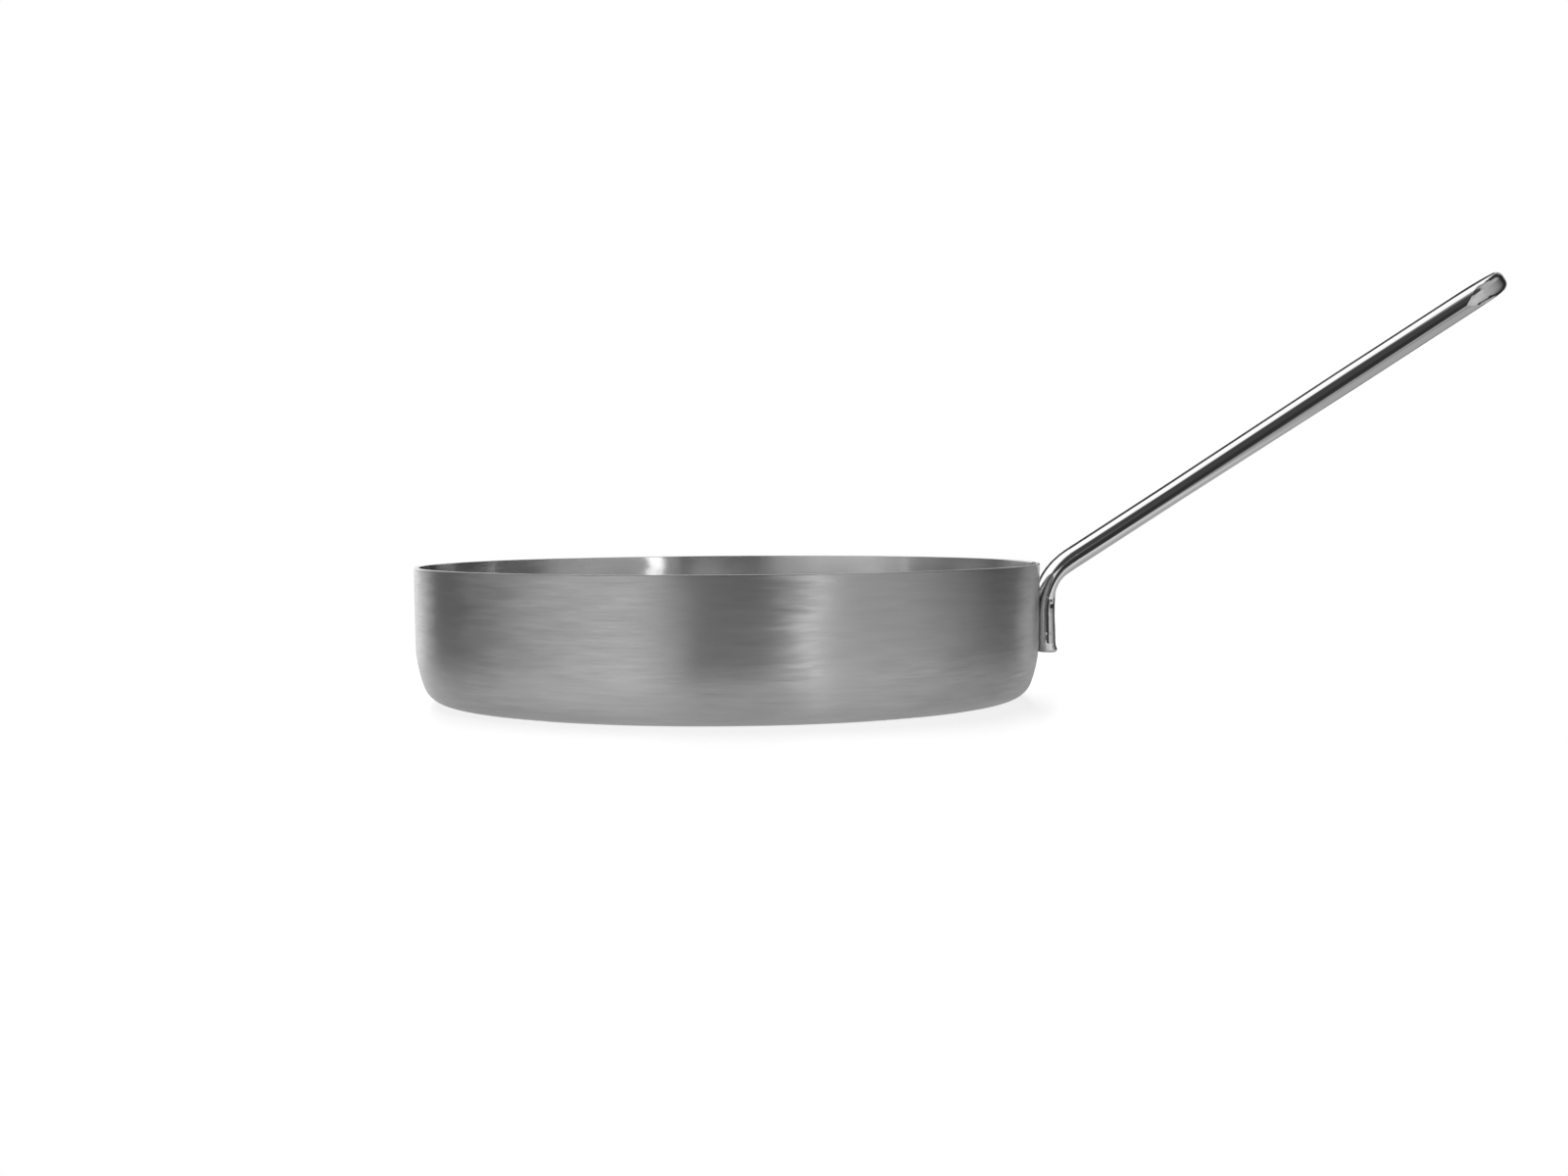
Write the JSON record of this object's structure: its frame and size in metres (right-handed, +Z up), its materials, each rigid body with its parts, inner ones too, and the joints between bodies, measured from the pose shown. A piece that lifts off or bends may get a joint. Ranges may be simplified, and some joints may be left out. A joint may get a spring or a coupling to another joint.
{
  "type": "saucier pan",
  "caption": "Shallow straight-sided saucier pan in clad stainless steel, brushed, with a long polished tube handle that rises from its wall.",
  "frame": {"origin": "centre of the base's underside, on the hob", "axes": "+Z up, square to the rim; +X from the pan's axis towards the handle's tip"},
  "size_m": [0.4241, 0.24, 0.1627],
  "materials": {
    "brushed_skin": "brushed round the pan, satin",
    "core": "cut edge, matt",
    "brushed_liner": "brushed round the pan, satin",
    "polished_handle": "stainless steel, mirror polished",
    "polished_plug": "stainless steel, ground flush and polished",
    "weld": "as welded"
  },
  "bodies": {
    "root": {"outer_skin": "brushed_skin", "aluminium_core": "core", "inner_liner": "brushed_liner", "handle_tube": "polished_handle", "end_plug": "polished_plug", "spot_welds": "weld"}
  },
  "joints": []
}
